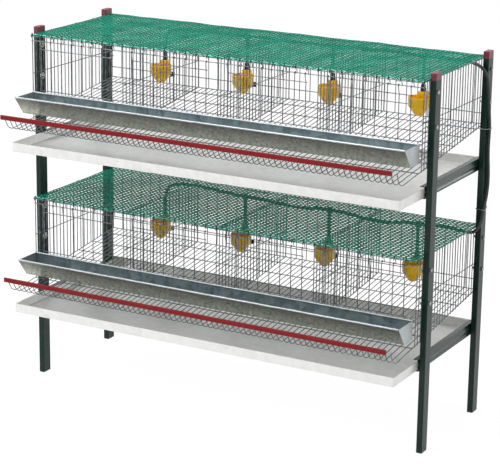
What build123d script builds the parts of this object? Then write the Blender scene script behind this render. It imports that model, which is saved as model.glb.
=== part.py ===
from build123d import *
import os
from math import pi, radians, sqrt, tan

# Two-tier quail cage: four posts carry two wire cages of four compartments each, with a
# sloping floor that rolls the eggs out to the front, a feed trough and a dropping tray.
# Millimetres. +X to the right, +Y to the back, +Z up, floor at Z = 0.

# Stand
width = 1090.0
depth = 336.0
height = 910.0
post_wide = 15.0
post_deep = 30.0
post_wall = 1.5
post_corner = 2.0
cap_height = 17.0
foot_height = 4.0
plug_length = 15.0
plug_play = 0.2
plug_round = 1.0

# Cages, measured down from the roof of each tier
tier_pitch = 416.0
compartments = 4
wire = 2.2
front_reach = 30.0
back_inset = 2.0
floor_drop = 207.0
floor_slope = 0.115
side_mid_drop = 94.0
back_mid_drop = 138.0
hinge_drop = 12.0
rail_drop = 141.0
egg_gap = 27.0
front_pitch = 29.33
side_pitch = 15.7
cross_pitch = 66.0
cross_first = 3.0

# Egg lip and strip
lip_corner = 97.0
lip_reach = 123.9
lip_knee_drop = 192.5
lip_top_drop = 181.0
strip_wall = 1.6
strip_round = 1.44
strip_height = 11.5
strip_over = 3.0
strip_left_over = 11.0
strip_right_short = 14.0

# Doors
door_gap = 0.3
door_bottom_drop = 134.9
door_mid_drop = 32.0
door_side_cells = 1
loop_r = 3.2
loop_clearance = 0.1

# Feed trough
trough_gap = 3.1
trough_depth = 45.0
trough_rim_drop = 140.0
trough_floor = 43.8
trough_mouth = 77.8
trough_side_gap = 5.0
sheet = 1.0
bead_r = 2.0
hook_wide = 3.0
hook_thick = 1.2
hook_long = 8.6
hook_offset = 3.5
hook_gap = 0.05
seat_gap = 0.3

# Dropping tray and its rails
tray_front = 130.0
tray_back = 350.0
tray_drop = 273.0
tray_height = 23.0
tray_side_play = 3.0
tray_corner = 4.0
rail_wall = 1.5
rail_flange = 15.0
rail_head_play = 2.5

# Roof net and its rings
net_thick = 2.0
net_strand = 2.5
net_cells_x = 28
net_cells_y = 10
ring_r = 3.6
ring_wire_r = 0.6
ring_side_shares = (0.22, 0.52, 0.74)

# Bolts that hold the cage sides to the posts
bolt_r = 2.5
bolt_clearance = 0.1
bolt_head_r = 5.0
bolt_head = 3.0
washer_r = 8.5
washer = 1.5
nut_r = 4.6
nut_height = 3.5
nut_clearance = 0.05
bolt_end = 2.0
bolt_drops = (27.0, 107.0)
bolt_cells = (2.5, 0.5)

# Drinkers and their water line
hose_d = 8.0
hose_gap = 0.3
hose_drop = 8.0
drinker_places = (187.9, 164.45, 142.0, 120.55)
drinker_cells = 2.5
cup_r = 28.0
cup_shoulder_r = 26.5
cup_base_r = 10.0
cup_wall = 2.5
cup_rim_drop = 103.0
cup_shoulder_drop = 126.0
cup_bottom_drop = 149.0
tower_wide = 22.0
tower_deep = 16.0
tower_corner = 3.0
tower_proud = 0.5
tower_top_drop = 93.0
tower_bottom_drop = 136.0
bracket_wide = 11.0
bracket_high = 12.0
bracket_plate_wide = 16.0
bracket_plate_high = 14.0
bracket_plate = 2.0
connector_r = 6.0
connector_hex_r = 7.5
connector_height = 16.0
tee_r = 6.5
tee_length = 12.0
tee_clearance = 0.05
stem_r = 5.0
stem_length = 14.0
tie_wire = 2.0
tie_play = 0.3
tie_places = ((322.0, 162.0), (304.0, 360.0))
pin_r = 2.0
pin_length = 8.0
pin_drop = 126.0

# Places that follow from these sizes. The origin is under the middle of the whole outline.
hose_side = hose_gap + hose_d + tie_play + tie_wire
left = -(width + hose_side - bolt_head) / 2
right = left + width
strip_out = front_reach + lip_reach + strip_wall
front = (strip_out - tray_back) / 2
back = front + depth
post_top = height - cap_height
roofs = {"lower": post_top - tier_pitch, "upper": post_top}
cage_left = left + post_wide
cage_right = right - post_wide
cage_front = front - front_reach
cage_back = back - back_inset
inside_left = cage_left + wire
inside_right = cage_right - wire
inside_front = cage_front + wire / 2
inside_back = cage_back - wire / 2
bay = (cage_right - cage_left - wire) / compartments
outer_wire = cage_left + wire / 2
partition_xs = [outer_wire + bay * k for k in range(1, compartments)]
cells_per_bay = round(bay / front_pitch)
front_cell = bay / cells_per_bay
side_cells = round((inside_back - inside_front) / side_pitch)
side_cell = (inside_back - inside_front) / side_cells
floor_rise = wire * sqrt(1 + floor_slope**2)
bolt_ys = (inside_front + side_cell * bolt_cells[0], inside_back - side_cell * bolt_cells[1])
drop_y = inside_back - side_cell * drinker_cells
cup_y = drop_y - cup_r + tower_deep / 2 - tower_proud
tray_bottom = {tier: roof - tray_drop for tier, roof in roofs.items()}
drinker_xs = [outer_wire + bay * k + place for k, place in enumerate(drinker_places)]

os.makedirs("parts", exist_ok=True)


def floor_z(roof, y):
    """Underside of the sloping floor at y."""
    return roof - floor_drop + floor_slope * (y - cage_front)


def post(name, x, y):
    """Rectangular tube with rounded edges, bored for the cage bolts."""
    with BuildPart() as tube:
        with BuildSketch(Plane.XY.offset(foot_height)):
            with Locations((x + post_wide / 2, y + post_deep / 2)):
                RectangleRounded(post_wide, post_deep, post_corner)
                Rectangle(post_wide - 2 * post_wall, post_deep - 2 * post_wall, mode=Mode.SUBTRACT)
        extrude(amount=post_top - foot_height)
        bolt_y = bolt_ys[0] if y == front else bolt_ys[1]
        with BuildSketch(Plane.YZ.offset(x)):
            with Locations(*[(bolt_y, roof - drop) for roof in roofs.values() for drop in bolt_drops]):
                Circle(bolt_r + bolt_clearance)
        extrude(amount=post_wide, mode=Mode.SUBTRACT)
    tube.part.label = name
    export_step(tube.part, f"parts/{name}.step")


def post_ends(name, outer_z, face_z, inner_z):
    """Four plugs, one for each post end, from their outer face to the tip inside the tube."""
    centres = [
        (x + post_wide / 2, y + post_deep / 2)
        for x in (left, right - post_wide)
        for y in (front, back - post_deep)
    ]
    inner_wide = post_wide - 2 * post_wall - plug_play
    inner_deep = post_deep - 2 * post_wall - plug_play
    with BuildPart() as plugs:
        with BuildSketch(Plane.XY.offset(min(outer_z, face_z))):
            with Locations(*centres):
                RectangleRounded(post_wide, post_deep, post_corner)
        extrude(amount=abs(outer_z - face_z))
        outer_edges = plugs.edges().filter_by(Plane.XY).group_by(Axis.Z)[-1 if outer_z > face_z else 0]
        fillet(outer_edges, plug_round)
        with BuildSketch(Plane.XY.offset(min(inner_z, face_z))):
            with Locations(*centres):
                Rectangle(inner_wide, inner_deep)
        extrude(amount=abs(inner_z - face_z))
    plugs.part.label = name
    export_step(plugs.part, f"parts/{name}.step")


def tray_rail(name, tier, face_x, inward):
    """C-channel between a front and a rear post, open towards the tray."""
    low = tray_bottom[tier] - seat_gap - rail_wall
    high = tray_bottom[tier] + tray_height + rail_head_play + rail_wall
    with BuildPart() as rail:
        with BuildSketch(Plane.XZ.offset(-front)):
            with Locations((face_x + inward * rail_flange / 2, (low + high) / 2)):
                Rectangle(rail_flange, high - low)
            with Locations((face_x + inward * (rail_wall + rail_flange / 2), (low + high) / 2)):
                Rectangle(rail_flange, high - low - 2 * rail_wall, mode=Mode.SUBTRACT)
        extrude(amount=-depth)
    rail.part.label = name
    export_step(rail.part, f"parts/{name}.step")


def upright_mesh(name, x, bottom_rise, mid_drop, roof):
    """Side or partition from the front to the back: upright wires, a mid wire, a sloping foot."""
    low = floor_z(roof, inside_front) + bottom_rise
    high = floor_z(roof, inside_back) + bottom_rise
    mid = roof - mid_drop
    middle = (inside_front + inside_back) / 2
    under = low - 2 * wire
    with BuildPart() as mesh:
        with BuildSketch(Plane.YZ.offset(x)):
            with Locations((middle, (under + roof) / 2)):
                Rectangle(inside_back - inside_front, roof - under)
            with Locations((middle, (mid + roof - wire / 2) / 2)):
                with GridLocations(side_cell, 0, side_cells, 1):
                    Rectangle(side_cell - wire, roof - mid - 1.5 * wire, mode=Mode.SUBTRACT)
            with Locations((middle, (under + mid - wire / 2) / 2)):
                with GridLocations(side_cell, 0, side_cells, 1):
                    Rectangle(side_cell - wire, mid - wire / 2 - under, mode=Mode.SUBTRACT)
            with BuildLine():
                Polyline(
                    (inside_front, under),
                    (inside_back, under),
                    (inside_back, high),
                    (inside_front, low),
                    close=True,
                )
            make_face(mode=Mode.SUBTRACT)
            with BuildLine():
                Polyline(
                    (inside_front, low),
                    (inside_back, high),
                    (inside_back, high + wire),
                    (inside_front, low + wire),
                    close=True,
                )
            make_face()
        extrude(amount=wire)
    mesh.part.label = name
    export_step(mesh.part, f"parts/{name}.step")


def back_mesh(name, roof):
    """Rear wall with the mid wire that carries the drinkers."""
    low = floor_z(roof, inside_back)
    mid = roof - back_mid_drop
    middle = (cage_left + cage_right) / 2
    columns = compartments * cells_per_bay
    with BuildPart() as mesh:
        with BuildSketch(Plane.XZ.offset(-cage_back - wire / 2)):
            with Locations((middle, (low + roof) / 2)):
                Rectangle(cage_right - cage_left, roof - low)
            for below, above in ((low + wire, mid - wire / 2), (mid + wire / 2, roof - wire)):
                with Locations((middle, (below + above) / 2)):
                    with GridLocations(front_cell, 0, columns, 1):
                        Rectangle(front_cell - wire, above - below, mode=Mode.SUBTRACT)
        extrude(amount=wire)
    mesh.part.label = name
    export_step(mesh.part, f"parts/{name}.step")


def front_grille(name, roof):
    """Fixed front: feeding grille over the egg gap, uprights, top wire and hinge wire."""
    low = roof - floor_drop + floor_rise + egg_gap
    rail = roof - rail_drop
    middle = (cage_left + cage_right) / 2
    columns = compartments * cells_per_bay
    with BuildPart() as grille:
        with BuildSketch(Plane.XZ.offset(-cage_front - wire / 2)):
            with Locations((middle, (low + roof) / 2)):
                Rectangle(cage_right - cage_left, roof - low)
            with Locations((middle, (low + wire + rail - wire / 2) / 2)):
                with GridLocations(front_cell, 0, columns, 1):
                    Rectangle(front_cell - wire, rail - low - 1.5 * wire, mode=Mode.SUBTRACT)
            with Locations((middle, (rail + roof - wire / 2) / 2)):
                with GridLocations(bay, 0, compartments, 1):
                    Rectangle(bay - wire, roof - rail - 1.5 * wire, mode=Mode.SUBTRACT)
        extrude(amount=wire)
        with BuildSketch(Plane.YZ.offset(cage_left)):
            with Locations((cage_front, roof - hinge_drop)):
                Circle(wire / 2)
        extrude(amount=cage_right - cage_left)
    grille.part.label = name
    export_step(grille.part, f"parts/{name}.step")


def door(name, roof, number):
    """Wire door that hangs on the hinge wire by the loops of its uprights."""
    centre = outer_wire + bay * (number - 0.5)
    cells = cells_per_bay - 2 * door_side_cells
    span = cells * front_cell
    low = roof - door_bottom_drop - wire / 2
    mid = roof - door_mid_drop
    hinge = roof - hinge_drop
    face = cage_front - wire / 2 - door_gap
    uprights = [centre - span / 2 + front_cell * k for k in range(cells + 1)]
    with BuildPart() as leaf:
        with BuildSketch(Plane.XZ.offset(-face)):
            with Locations((centre, (low + mid + wire / 2) / 2)):
                Rectangle(span + wire, mid + wire / 2 - low)
            with Locations((centre, (low + wire + mid - wire / 2) / 2)):
                with GridLocations(front_cell, 0, cells, 1):
                    Rectangle(front_cell - wire, mid - low - 1.5 * wire, mode=Mode.SUBTRACT)
            with Locations(*[(x, (mid + hinge) / 2) for x in uprights]):
                Rectangle(wire, hinge - mid)
        extrude(amount=wire)
        for x in uprights:
            with BuildSketch(Plane.YZ.offset(x - wire / 2)):
                with Locations((cage_front, hinge)):
                    Circle(loop_r)
            extrude(amount=wire)
        with BuildSketch(Plane.YZ.offset(centre - span / 2 - wire)):
            with Locations((cage_front, hinge)):
                Circle(wire / 2 + loop_clearance)
        extrude(amount=span + 2 * wire, mode=Mode.SUBTRACT)
    leaf.part.label = name
    export_step(leaf.part, f"parts/{name}.step")


def floor_mesh(name, roof):
    """Sloping floor that runs out under the trough and turns up into the egg lip."""
    corner_y = cage_front - lip_corner
    lip_y = cage_front - lip_reach
    columns = compartments * cells_per_bay
    middle = (inside_left + inside_right) / 2
    first = inside_back - wire
    crosses = [cage_front - cross_first + cross_pitch * k for k in range(int(depth / cross_pitch) + 2)]
    crosses = [y for y in crosses if y < first - 2 * wire]
    rows = [(a + wire / 2, b - wire / 2) for a, b in zip(crosses, crosses[1:])]
    rows.append((crosses[-1] + wire / 2, first))
    rows.append((corner_y + wire, crosses[0] - wire / 2))
    rows.append((lip_y + 1.5 * wire, corner_y - wire))
    cell = (inside_right - inside_left - wire) / columns
    with BuildPart() as mesh:
        with BuildSketch(Plane.YZ.offset(inside_left)):
            with BuildLine():
                Polyline(
                    (inside_back, floor_z(roof, inside_back)),
                    (corner_y, floor_z(roof, corner_y)),
                    (lip_y, roof - lip_knee_drop),
                    (lip_y, roof - lip_top_drop),
                )
                offset(amount=wire, side=Side.RIGHT, kind=Kind.INTERSECTION)
            make_face()
        extrude(amount=inside_right - inside_left)
        with BuildSketch(Plane.XY.offset(floor_z(roof, corner_y) - wire)):
            for low_y, high_y in rows:
                with Locations((middle, (low_y + high_y) / 2)):
                    with GridLocations(cell, 0, columns, 1):
                        Rectangle(cell - wire, high_y - low_y)
        extrude(amount=floor_drop / 2, mode=Mode.SUBTRACT)
    mesh.part.label = name
    export_step(mesh.part, f"parts/{name}.step")


def egg_strip(name, roof):
    """Plastic edging pushed down over the lip."""
    lip_y = cage_front - lip_reach
    top = roof - lip_top_drop + strip_over
    with BuildPart() as strip:
        with BuildSketch(Plane.YZ.offset(inside_left - strip_left_over)):
            with Locations((lip_y + wire / 2, top - strip_height / 2)):
                RectangleRounded(wire + 2 * strip_wall, strip_height, strip_round)
            with Locations((lip_y + wire / 2, top - strip_over - strip_height / 2)):
                Rectangle(wire, strip_height, mode=Mode.SUBTRACT)
        extrude(amount=inside_right - inside_left + strip_left_over - strip_right_short)
    strip.part.label = name
    export_step(strip.part, f"parts/{name}.step")


def roof_net(name, roof):
    """Plastic net laid over the top wires."""
    net_front = cage_front - net_strand / 2
    net_back = cage_back + net_strand / 2
    cell_x = (cage_right - cage_left - net_strand) / net_cells_x
    cell_y = (net_back - net_front - net_strand) / net_cells_y
    with BuildPart() as net:
        with BuildSketch(Plane.XY.offset(roof)):
            with Locations(((cage_left + cage_right) / 2, (net_front + net_back) / 2)):
                Rectangle(cage_right - cage_left, net_back - net_front)
                with GridLocations(cell_x, cell_y, net_cells_x, net_cells_y):
                    Rectangle(cell_x - net_strand, cell_y - net_strand, mode=Mode.SUBTRACT)
        extrude(amount=net_thick)
    net.part.label = name
    export_step(net.part, f"parts/{name}.step")


def net_rings(name, roof):
    """Wire rings that clip the net's edge to the top wires, clear of posts and corners."""
    ring_xs = [outer_wire + bay * (k + 0.5) / 2 for k in range(2 * compartments)]
    ring_ys = [inside_front + side_cell * (round(side_cells * share) + 0.5) for share in ring_side_shares]
    with BuildPart() as rings:
        for y in (cage_front, cage_back):
            for x in ring_xs:
                with BuildSketch(Plane(origin=(x, y, roof), x_dir=(0, 1, 0), z_dir=(0, 0, 1))):
                    with Locations((ring_r, 0)):
                        Circle(ring_wire_r)
                revolve(axis=Axis((x, y, roof), (1, 0, 0)))
        for x in (cage_left + wire / 2, cage_right - wire / 2):
            for y in ring_ys:
                with BuildSketch(Plane(origin=(x, y, roof), x_dir=(1, 0, 0), z_dir=(0, 0, 1))):
                    with Locations((ring_r, 0)):
                        Circle(ring_wire_r)
                revolve(axis=Axis((x, y, roof), (0, 1, 0)))
    rings.part.label = name
    export_step(rings.part, f"parts/{name}.step")


def feed_trough(name, roof):
    """Folded sheet trough with beaded rims and end plates, hooked over the front grille's rail."""
    back_y = cage_front - wire / 2 - trough_gap
    rim = roof - trough_rim_drop
    bottom = rim - trough_depth
    start = inside_left + trough_side_gap - wire
    length = inside_right - inside_left + 2 * wire - 2 * trough_side_gap
    rail_top = roof - rail_drop + wire / 2
    hook_face = back_y + hook_gap
    hook_back = inside_front + seat_gap
    with BuildPart() as trough:
        with BuildSketch(Plane.YZ.offset(start)):
            with BuildLine():
                Polyline(
                    (back_y, rim),
                    (back_y, bottom),
                    (back_y - trough_floor, bottom),
                    (back_y - trough_mouth, rim),
                )
                offset(amount=sheet, side=Side.RIGHT, kind=Kind.INTERSECTION)
            make_face()
            with Locations((back_y - bead_r, rim), (back_y - trough_mouth, rim)):
                Circle(bead_r)
        extrude(amount=length)
        for x in (start, start + length - sheet):
            with BuildSketch(Plane.YZ.offset(x)):
                with BuildLine():
                    Polyline(
                        (back_y, rim),
                        (back_y, bottom),
                        (back_y - trough_floor, bottom),
                        (back_y - trough_mouth, rim),
                        close=True,
                    )
                make_face()
            extrude(amount=sheet)
        for x in partition_xs:
            with BuildSketch(Plane.YZ.offset(x + hook_offset - hook_wide / 2)):
                with BuildLine():
                    Polyline(
                        (hook_face, rail_top - hook_long - hook_thick),
                        (hook_face, rail_top + seat_gap + hook_thick),
                        (hook_back + hook_thick, rail_top + seat_gap + hook_thick),
                        (hook_back + hook_thick, rail_top + seat_gap + hook_thick - hook_long),
                    )
                    offset(amount=hook_thick, side=Side.RIGHT, kind=Kind.INTERSECTION)
                make_face()
            extrude(amount=hook_wide)
    trough.part.label = name
    export_step(trough.part, f"parts/{name}.step")


def dropping_tray(name, tier):
    """Shallow sheet tray that slides in the two rails."""
    tray_left = cage_left + rail_wall + tray_side_play
    tray_right = cage_right - rail_wall - tray_side_play
    tray_wide = tray_right - tray_left
    tray_long = tray_back + tray_front
    centre = ((tray_left + tray_right) / 2, front + (tray_back - tray_front) / 2)
    low = tray_bottom[tier]
    with BuildPart() as tray:
        with BuildSketch(Plane.XY.offset(low)):
            with Locations(centre):
                RectangleRounded(tray_wide, tray_long, tray_corner)
        extrude(amount=tray_height)
        with BuildSketch(Plane.XY.offset(low + sheet)):
            with Locations(centre):
                RectangleRounded(tray_wide - 2 * sheet, tray_long - 2 * sheet, tray_corner - sheet)
        extrude(amount=tray_height, mode=Mode.SUBTRACT)
    tray.part.label = name
    export_step(tray.part, f"parts/{name}.step")


def drinker(name, x, roof):
    """Cup with a valve tower behind it and a bracket to the rear wall's mid wire."""
    bottom = roof - cup_bottom_drop
    tower_low = roof - tower_bottom_drop
    tower_high = roof - tower_top_drop
    shoulder = roof - cup_shoulder_drop
    rim = roof - cup_rim_drop
    bracket_z = roof - back_mid_drop
    with BuildPart() as cup:
        with BuildSketch(Plane(origin=(x, cup_y, 0), x_dir=(1, 0, 0), z_dir=(0, -1, 0))):
            with BuildLine():
                Polyline(
                    (0, bottom),
                    (cup_base_r, bottom),
                    (cup_shoulder_r, shoulder),
                    (cup_r, rim),
                    (cup_r - cup_wall, rim),
                    (cup_shoulder_r - cup_wall, shoulder + cup_wall / 2),
                    (cup_base_r - cup_wall / 2, bottom + cup_wall),
                    (0, bottom + cup_wall),
                    close=True,
                )
            make_face()
        revolve(axis=Axis((x, cup_y, 0), (0, 0, 1)))
        with BuildSketch(Plane.XY.offset(tower_low)):
            with Locations((x, drop_y)):
                RectangleRounded(tower_wide, tower_deep, tower_corner)
        extrude(amount=tower_high - tower_low)
        with BuildSketch(Plane.XZ.offset(-drop_y - tower_deep / 4)):
            with Locations((x, bracket_z)):
                Rectangle(bracket_wide, bracket_high)
        extrude(amount=-(inside_back - drop_y - tower_deep / 4))
        with BuildSketch(Plane.XZ.offset(-inside_back + bracket_plate)):
            with Locations((x, bracket_z)):
                Rectangle(bracket_plate_wide, bracket_plate_high)
        extrude(amount=-bracket_plate)
    cup.part.label = name
    export_step(cup.part, f"parts/{name}.step")


def valve_pins():
    """Steel drinking pin on the front of each tower, inside its cup."""
    with BuildPart() as pins:
        with BuildSketch(Plane.XZ.offset(-drop_y + tower_deep / 2)):
            with Locations(*[(x, roof - pin_drop) for roof in roofs.values() for x in drinker_xs]):
                Circle(pin_r)
        extrude(amount=pin_length)
    pins.part.label = "valve_pins"
    export_step(pins.part, "parts/valve_pins.step")


def hose_fittings(name, roof):
    """A screw connector on each drinker, and a tee on the hose over all but the first of the tier."""
    hose_z = roof - hose_drop
    low = roof - tower_top_drop
    with BuildPart() as fittings:
        with BuildSketch(Plane.XY.offset(low)):
            with Locations(*[(x, drop_y) for x in drinker_xs]):
                RegularPolygon(connector_hex_r, 6)
        extrude(amount=connector_height / 2)
        with BuildSketch(Plane.XY.offset(low + connector_height / 2)):
            with Locations(*[(x, drop_y) for x in drinker_xs]):
                Circle(connector_r)
        extrude(amount=connector_height / 2)
        for x in drinker_xs[1:]:
            with BuildSketch(Plane.YZ.offset(x - tee_length / 2)):
                with Locations((drop_y, hose_z)):
                    Circle(tee_r)
            extrude(amount=tee_length)
            with BuildSketch(Plane.XY.offset(hose_z - stem_length)):
                with Locations((x, drop_y)):
                    Circle(stem_r)
            extrude(amount=stem_length)
            with BuildSketch(Plane.YZ.offset(x - tee_length / 2)):
                with Locations((drop_y, hose_z)):
                    Circle(hose_d / 2 + tee_clearance)
            extrude(amount=tee_length, mode=Mode.SUBTRACT)
    fittings.part.label = name
    export_step(fittings.part, f"parts/{name}.step")


def drop_tubes(name, roof):
    """Straight tubes from the tees down to the drinkers."""
    low = roof - tower_top_drop + connector_height
    high = roof - hose_drop - stem_length
    with BuildPart() as tubes:
        with BuildSketch(Plane.XY.offset(low)):
            with Locations(*[(x, drop_y) for x in drinker_xs[1:]]):
                Circle(hose_d / 2)
        extrude(amount=high - low)
    tubes.part.label = name
    export_step(tubes.part, f"parts/{name}.step")


def cage_bolts():
    """Bolts through the posts, each with a nut and washer on the mesh inside."""
    with BuildPart() as bolts:
        for face_x, inward in ((left, 1), (right, -1)):
            mesh_x = face_x + inward * (post_wide + wire)
            places = [(y, roof - drop) for y in bolt_ys for roof in roofs.values() for drop in bolt_drops]
            tip = post_wide + wire + washer + nut_height + bolt_end
            with BuildSketch(Plane.YZ.offset(face_x)):
                with Locations(*places):
                    Circle(bolt_head_r)
            extrude(amount=-inward * bolt_head)
            with BuildSketch(Plane.YZ.offset(face_x)):
                with Locations(*places):
                    Circle(bolt_r)
            extrude(amount=inward * tip)
            with BuildSketch(Plane.YZ.offset(mesh_x)):
                with Locations(*places):
                    Circle(washer_r)
                    Circle(bolt_r + nut_clearance, mode=Mode.SUBTRACT)
            extrude(amount=inward * washer)
            with BuildSketch(Plane.YZ.offset(mesh_x + inward * washer)):
                with Locations(*places):
                    RegularPolygon(nut_r, 6)
                    Circle(bolt_r + nut_clearance, mode=Mode.SUBTRACT)
            extrude(amount=inward * nut_height)
    bolts.part.label = "cage_bolts"
    export_step(bolts.part, "parts/cage_bolts.step")


# Water hose from the first upper drinker along the upper roof, out and down the rear right
# post and back along the lower roof to the first lower drinker. X from the left posts'
# outer faces, Y from the front posts' front faces, Z as a drop below the tier's hose level.
riser_x = width + hose_gap + hose_d / 2
cross_y = drop_y - front
bend_share = 0.4
upper_route = (
    (204, cross_y, 69),
    (204, cross_y, 22),
    (226, 297, 0),
    (400, cross_y, 0),
    (490, cross_y, 0),
    (572, 290.5, 0),
    (650, cross_y, 0),
    (722, cross_y, 0),
    (852, 317, 0),
    (897, cross_y, 0),
    (963, cross_y, 0),
    (1010, 301, 0),
    (1058, cross_y, 2),
    (1080, 294.5, 12),
    (1092.5, 297, 32),
    (riser_x, 301, 60),
    (riser_x, 306, 92),
    (riser_x, tie_places[0][0], 157),
    (riser_x, 316, 213),
    (riser_x, 329, 285),
    (riser_x, 322, 329),
    (riser_x, 303, 363),
)
lower_route = (
    (riser_x, 297.5, -31),
    (1085.5, 294.5, -6),
    (1067, cross_y, 5),
    (1006, 304, 0),
    (962, cross_y, 0),
    (900, cross_y, 0),
    (851, 248, 0),
    (718, cross_y, 0),
    (656, cross_y, 0),
    (624, 262, 0),
    (488, cross_y, 0),
    (404, cross_y, 0),
    (281, 329, 0),
    (222, 304, 0),
    (204, cross_y, 19),
    (204, cross_y, 69),
)


def hose_points():
    """Corner points of the water hose in the cage's own frame."""
    upper = [(left + x, front + y, roofs["upper"] - hose_drop - z) for x, y, z in upper_route]
    lower = [(left + x, front + y, roofs["lower"] - hose_drop - z) for x, y, z in lower_route]
    return [Vector(*p) for p in upper + lower]


def water_hose():
    """One hose of straight runs and tangent arcs."""
    points = hose_points()
    runs = [b - a for a, b in zip(points, points[1:])]
    radii = []
    for before, after in zip(runs, runs[1:]):
        half_turn = radians(before.get_angle(after) / 2)
        radii.append(bend_share * min(before.length, after.length) / tan(half_turn))
    print("hose bend radii", [round(r) for r in radii])
    with BuildPart() as hose:
        with BuildLine() as route:
            FilletPolyline(*points, radius=radii)
        with BuildSketch(Plane(origin=points[0], z_dir=runs[0])):
            Circle(hose_d / 2)
        sweep()
    length = route.wire().length
    share = hose.part.volume / (pi * (hose_d / 2) ** 2 * length)
    print("hose length", round(length), "volume over section times length", round(share, 4))
    hose.part.label = "water_hose"
    export_step(hose.part, "parts/water_hose.step")


def hose_ties():
    """Wire ties round the rear right post and the hose."""
    with BuildPart() as ties:
        for hose_y, drop in tie_places:
            z = roofs["upper"] - hose_drop - drop
            y_low = min(back - post_deep, front + hose_y - hose_d / 2) - tie_play
            y_high = back + tie_play
            x_low = right - post_wide - tie_play
            x_high = right + hose_gap + hose_d + tie_play
            centre = ((x_low + x_high) / 2, (y_low + y_high) / 2)
            with BuildSketch(Plane.XY.offset(z - tie_wire / 2)):
                with Locations(centre):
                    Rectangle(x_high - x_low + 2 * tie_wire, y_high - y_low + 2 * tie_wire)
                    Rectangle(x_high - x_low, y_high - y_low, mode=Mode.SUBTRACT)
            extrude(amount=tie_wire)
    ties.part.label = "hose_ties"
    export_step(ties.part, "parts/hose_ties.step")


def stand():
    """Posts, caps, feet and rails."""
    for depth_name, y in (("front", front), ("rear", back - post_deep)):
        for side, x in (("left", left), ("right", right - post_wide)):
            post(f"post_{depth_name}_{side}", x, y)
    post_ends("post_caps", height, post_top, post_top - plug_length)
    post_ends("foot_plugs", 0, foot_height, foot_height + plug_length)
    for tier in roofs:
        tray_rail(f"{tier}_rail_left", tier, cage_left, 1)
        tray_rail(f"{tier}_rail_right", tier, cage_right, -1)
    cage_bolts()


def cage(tier, roof):
    """One tier: its wire cage, net, doors, trough, tray and drinkers."""
    floor_mesh(f"{tier}_floor_mesh", roof)
    back_mesh(f"{tier}_back_mesh", roof)
    upright_mesh(f"{tier}_left_mesh", cage_left, 0, side_mid_drop, roof)
    upright_mesh(f"{tier}_right_mesh", cage_right - wire, 0, side_mid_drop, roof)
    for number, x in enumerate(partition_xs, 1):
        upright_mesh(f"{tier}_partition_{number}", x - wire / 2, floor_rise, side_mid_drop, roof)
    front_grille(f"{tier}_front_grille", roof)
    for number in range(1, compartments + 1):
        door(f"{tier}_door_{number}", roof, number)
    roof_net(f"{tier}_roof_net", roof)
    net_rings(f"{tier}_net_rings", roof)
    egg_strip(f"{tier}_egg_strip", roof)
    feed_trough(f"{tier}_feed_trough", roof)
    dropping_tray(f"{tier}_dropping_tray", tier)
    for number, x in enumerate(drinker_xs, 1):
        drinker(f"{tier}_drinker_{number}", x, roof)
    hose_fittings(f"{tier}_hose_fittings", roof)
    drop_tubes(f"{tier}_drop_tubes", roof)


stand()
for tier_name, roof_level in roofs.items():
    cage(tier_name, roof_level)
valve_pins()
water_hose()
hose_ties()
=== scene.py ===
import random
from math import cos, pi, radians, sin, tau
from types import SimpleNamespace

import bmesh
import bpy
from bpy.props import FloatProperty, FloatVectorProperty, IntProperty, PointerProperty
from mathutils import Matrix, Vector, geometry, noise


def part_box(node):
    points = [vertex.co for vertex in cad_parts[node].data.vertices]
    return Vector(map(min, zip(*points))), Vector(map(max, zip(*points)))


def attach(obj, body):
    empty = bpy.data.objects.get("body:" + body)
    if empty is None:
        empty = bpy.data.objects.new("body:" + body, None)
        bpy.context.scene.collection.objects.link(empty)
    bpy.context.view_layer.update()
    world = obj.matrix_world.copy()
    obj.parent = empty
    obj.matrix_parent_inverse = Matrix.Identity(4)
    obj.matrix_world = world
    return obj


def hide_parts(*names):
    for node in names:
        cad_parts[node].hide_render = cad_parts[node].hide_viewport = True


# Looks of a two-tier quail cage: round welded wires, plastic roof nets, galvanised sheet,
# painted posts, cup drinkers and the water hose. Metres, +X right, +Y back, +Z up.

bl_info = {
    "name": "Quail cage",
    "version": (1, 0, 0),
    "blender": (4, 5, 0),
    "location": "3D View > Sidebar > Quail cage",
    "description": "Builds the visible pieces of a two-tier quail cage around its packed frame",
    "category": "Object",
}

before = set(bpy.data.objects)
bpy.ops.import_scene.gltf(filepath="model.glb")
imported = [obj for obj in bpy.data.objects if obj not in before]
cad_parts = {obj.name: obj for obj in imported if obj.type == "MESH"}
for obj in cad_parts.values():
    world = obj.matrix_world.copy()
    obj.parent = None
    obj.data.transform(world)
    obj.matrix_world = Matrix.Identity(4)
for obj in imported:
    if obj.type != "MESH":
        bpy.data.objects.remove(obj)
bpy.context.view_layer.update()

MM = 0.001
TIERS = ("lower", "upper")
POSTS = ("post_front_left", "post_front_right", "post_rear_left", "post_rear_right")


def linear(code):
    """Linear RGB of an sRGB hex colour."""
    channels = [int(code[i:i + 2], 16) / 255 for i in (0, 2, 4)]
    return [c / 12.92 if c <= 0.04045 else ((c + 0.055) / 1.055) ** 2.4 for c in channels]


def length_property(name, description, size_mm):
    """A length that a user may change, given in millimetres."""
    return FloatProperty(name=name, description=description, default=size_mm * MM, unit="LENGTH", precision=4)


def colour_property(name, description, code):
    """A colour that a user may change, given as sRGB hex."""
    return FloatVectorProperty(name=name, description=description, default=linear(code), subtype="COLOR",
                               size=3, min=0.0, max=1.0)


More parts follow.
